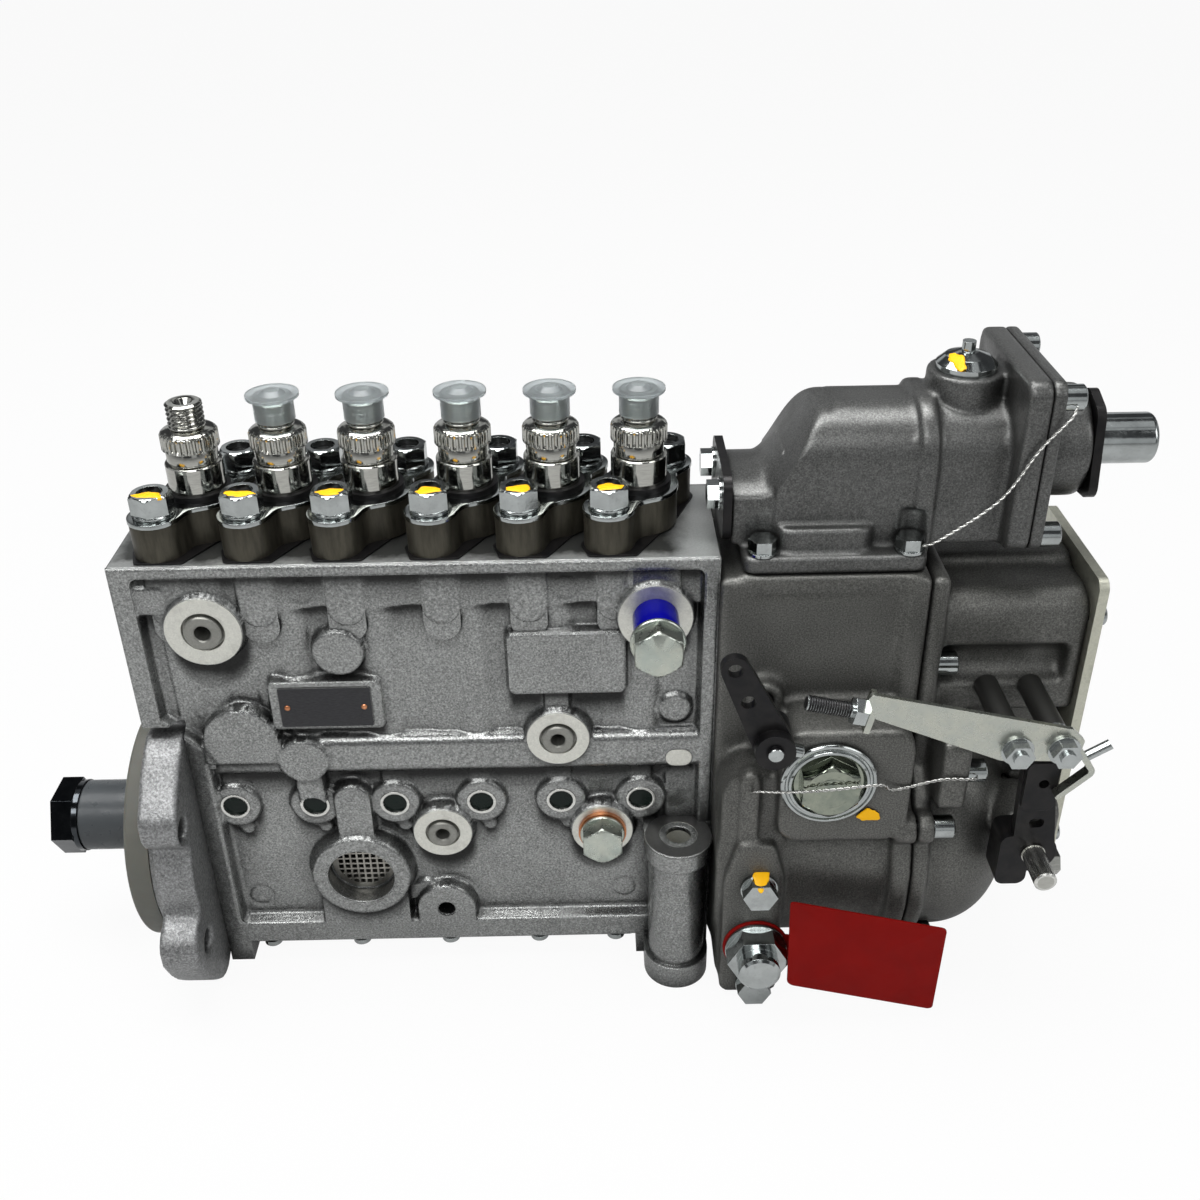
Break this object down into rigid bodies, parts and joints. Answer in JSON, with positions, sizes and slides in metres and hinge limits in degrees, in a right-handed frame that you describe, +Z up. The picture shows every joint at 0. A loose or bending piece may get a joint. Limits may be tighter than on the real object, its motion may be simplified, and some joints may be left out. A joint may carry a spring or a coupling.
{
  "type": "diesel injection pump",
  "caption": "In-line diesel injection pump with a round drive flange, a row of outlet valve holders, a centrifugal governor, a boost compensator on top, a stop lever and a control lever.",
  "frame": {"origin": "point where the camshaft axis crosses the mounting face of the drive flange", "axes": "+X along the camshaft from the drive flange to the governor, +Z up along the barrels, ports and levers face -Y"},
  "size_m": [0.4765, 0.1574, 0.287],
  "materials": {
    "housing_cast": "bright cast aluminium, fine sand texture",
    "governor_cast": "matte grey die-cast aluminium",
    "flange_cast": "bare cast aluminium, satin",
    "zinc_plate": "bright zinc plate, glossy",
    "pale_zinc": "satin zinc plate",
    "phosphated_steel": "dark machined steel, brownish",
    "polished_steel": "polished turned steel",
    "black_oxide": "black oxide steel, satin",
    "machined_steel": "ground steel",
    "spring_steel": "oiled spring steel",
    "white_plastic": "translucent white polyethylene",
    "clear_plastic": "clear soft plastic",
    "blue_sleeve": "deep blue, satin",
    "copper": "bare copper",
    "red_plastic": "red plastic sheet, satin",
    "yellow_brass": "dull brass"
  },
  "bodies": {
    "pump_body": {"pump_housing": "housing_cast", "drive_flange": "flange_cast", "bottom_cover": "flange_cast", "cover_screws": "zinc_plate", "bearing_outer_rings": "machined_steel", "transit_cover": "white_plastic", "flange_bushings": "phosphated_steel", "bushing_shims": "black_oxide", "clamp_plates": "zinc_plate", "flange_studs": "zinc_plate", "flange_nuts": "zinc_plate", "delivery_valve_holders": "polished_steel", "holder_collars": "black_oxide", "delivery_caps": "clear_plastic", "barrels": "machined_steel", "delivery_valves": "machined_steel", "tappets": "machined_steel", "plunger_springs": "spring_steel", "guide_bushes": "yellow_brass", "gallery_sleeve": "blue_sleeve", "gallery_bolt": "zinc_plate", "hex_plug": "zinc_plate", "copper_washer": "copper", "inlet_screen": "yellow_brass", "governor_housing": "governor_cast", "governor_cover": "governor_cast", "end_plate": "pale_zinc", "sight_plug": "zinc_plate", "timing_plug": "zinc_plate", "timing_plug_bolts": "zinc_plate", "red_tag": "red_plastic", "stop_bracket": "pale_zinc", "bracket_fasteners": "pale_zinc", "compensator_housing": "governor_cast", "compensator_cover": "governor_cast", "cup_flange": "black_oxide", "compensator_cup": "zinc_plate", "compensator_end_plate": "black_oxide", "compensator_bolts": "zinc_plate", "dome_plug": "zinc_plate", "lock_wires": "pale_zinc"},
    "camshaft_group": {"camshaft": "machined_steel", "bearing_inner_rings": "machined_steel", "shaft_nut": "black_oxide", "shaft_sleeve": "white_plastic", "governor_hub": "machined_steel"},
    "upper_flyweight": {"flyweight_1": "machined_steel"},
    "lower_flyweight": {"flyweight_2": "machined_steel"},
    "sliding_sleeve": {"governor_sleeve": "machined_steel"},
    "rack": {"control_rack": "machined_steel"},
    "plunger_set_1": {"plunger_1": "machined_steel"},
    "plunger_set_2": {"plunger_2": "machined_steel"},
    "plunger_set_3": {"plunger_3": "machined_steel"},
    "plunger_set_4": {"plunger_4": "machined_steel"},
    "plunger_set_5": {"plunger_5": "machined_steel"},
    "plunger_set_6": {"plunger_6": "machined_steel"},
    "stop_lever_group": {"stop_lever": "black_oxide"},
    "control_lever_group": {"control_lever": "black_oxide", "control_shaft": "polished_steel"},
    "boost_stem": {"compensator_stem": "machined_steel"}
  },
  "joints": [
    {"name": "camshaft_turn", "type": "hinge", "parent": "pump_body", "child": "camshaft_group", "pos_m": [0, 0, 0], "axis": [1, 0, 0], "continuous": true},
    {"name": "flyweight_swing", "type": "hinge", "parent": "camshaft_group", "child": "upper_flyweight", "pos_m": [0.258, 0, 0.021], "axis": [0, -1, 0], "range_deg": [0, 15]},
    {"name": "lower_flyweight_swing", "type": "hinge", "parent": "camshaft_group", "child": "lower_flyweight", "pos_m": [0.258, 0, -0.021], "axis": [0, 1, 0], "range_deg": [0, 15]},
    {"name": "sleeve_slide", "type": "slide", "parent": "camshaft_group", "child": "sliding_sleeve", "axis": [1, 0, 0], "range_m": [0, 0.00262]},
    {"name": "rack_slide", "type": "slide", "parent": "pump_body", "child": "rack", "axis": [1, 0, 0], "range_m": [-0.007, 0.007]},
    {"name": "plunger_turn_1", "type": "hinge", "parent": "pump_body", "child": "plunger_set_1", "pos_m": [0.0315, 0, 0.0875], "axis": [0, 0, -1], "range_deg": [-23.6, 23.6]},
    {"name": "plunger_turn_2", "type": "hinge", "parent": "pump_body", "child": "plunger_set_2", "pos_m": [0.0665, 0, 0.0875], "axis": [0, 0, -1], "range_deg": [-23.6, 23.6]},
    {"name": "plunger_turn_3", "type": "hinge", "parent": "pump_body", "child": "plunger_set_3", "pos_m": [0.1015, 0, 0.0875], "axis": [0, 0, -1], "range_deg": [-23.6, 23.6]},
    {"name": "plunger_turn_4", "type": "hinge", "parent": "pump_body", "child": "plunger_set_4", "pos_m": [0.1395, 0, 0.0875], "axis": [0, 0, -1], "range_deg": [-23.6, 23.6]},
    {"name": "plunger_turn_5", "type": "hinge", "parent": "pump_body", "child": "plunger_set_5", "pos_m": [0.1745, 0, 0.0875], "axis": [0, 0, -1], "range_deg": [-23.6, 23.6]},
    {"name": "plunger_turn_6", "type": "hinge", "parent": "pump_body", "child": "plunger_set_6", "pos_m": [0.2095, 0, 0.0875], "axis": [0, 0, -1], "range_deg": [-23.6, 23.6]},
    {"name": "stop_lever_turn", "type": "hinge", "parent": "pump_body", "child": "stop_lever_group", "pos_m": [0.2593, -0.06, 0.0885], "axis": [0, 1, 0], "range_deg": [0, 30]},
    {"name": "control_lever_turn", "type": "hinge", "parent": "pump_body", "child": "control_lever_group", "pos_m": [0.3715, -0.06, 0.026], "axis": [0, -1, 0], "range_deg": [-5, 20]},
    {"name": "boost_stem_slide", "type": "slide", "parent": "pump_body", "child": "boost_stem", "axis": [-1, 0, 0], "range_m": [0, 0.008]}
  ],
  "couplings": [
    {"joint": "lower_flyweight_swing", "follows": "flyweight_swing", "ratio": 1},
    {"joint": "sleeve_slide", "follows": "flyweight_swing", "m_per_rad": 0.01},
    {"joint": "plunger_turn_1", "follows": "rack_slide", "rad_per_m": 58.8},
    {"joint": "plunger_turn_2", "follows": "rack_slide", "rad_per_m": 58.8},
    {"joint": "plunger_turn_3", "follows": "rack_slide", "rad_per_m": 58.8},
    {"joint": "plunger_turn_4", "follows": "rack_slide", "rad_per_m": 58.8},
    {"joint": "plunger_turn_5", "follows": "rack_slide", "rad_per_m": 58.8},
    {"joint": "plunger_turn_6", "follows": "rack_slide", "rad_per_m": 58.8}
  ]
}
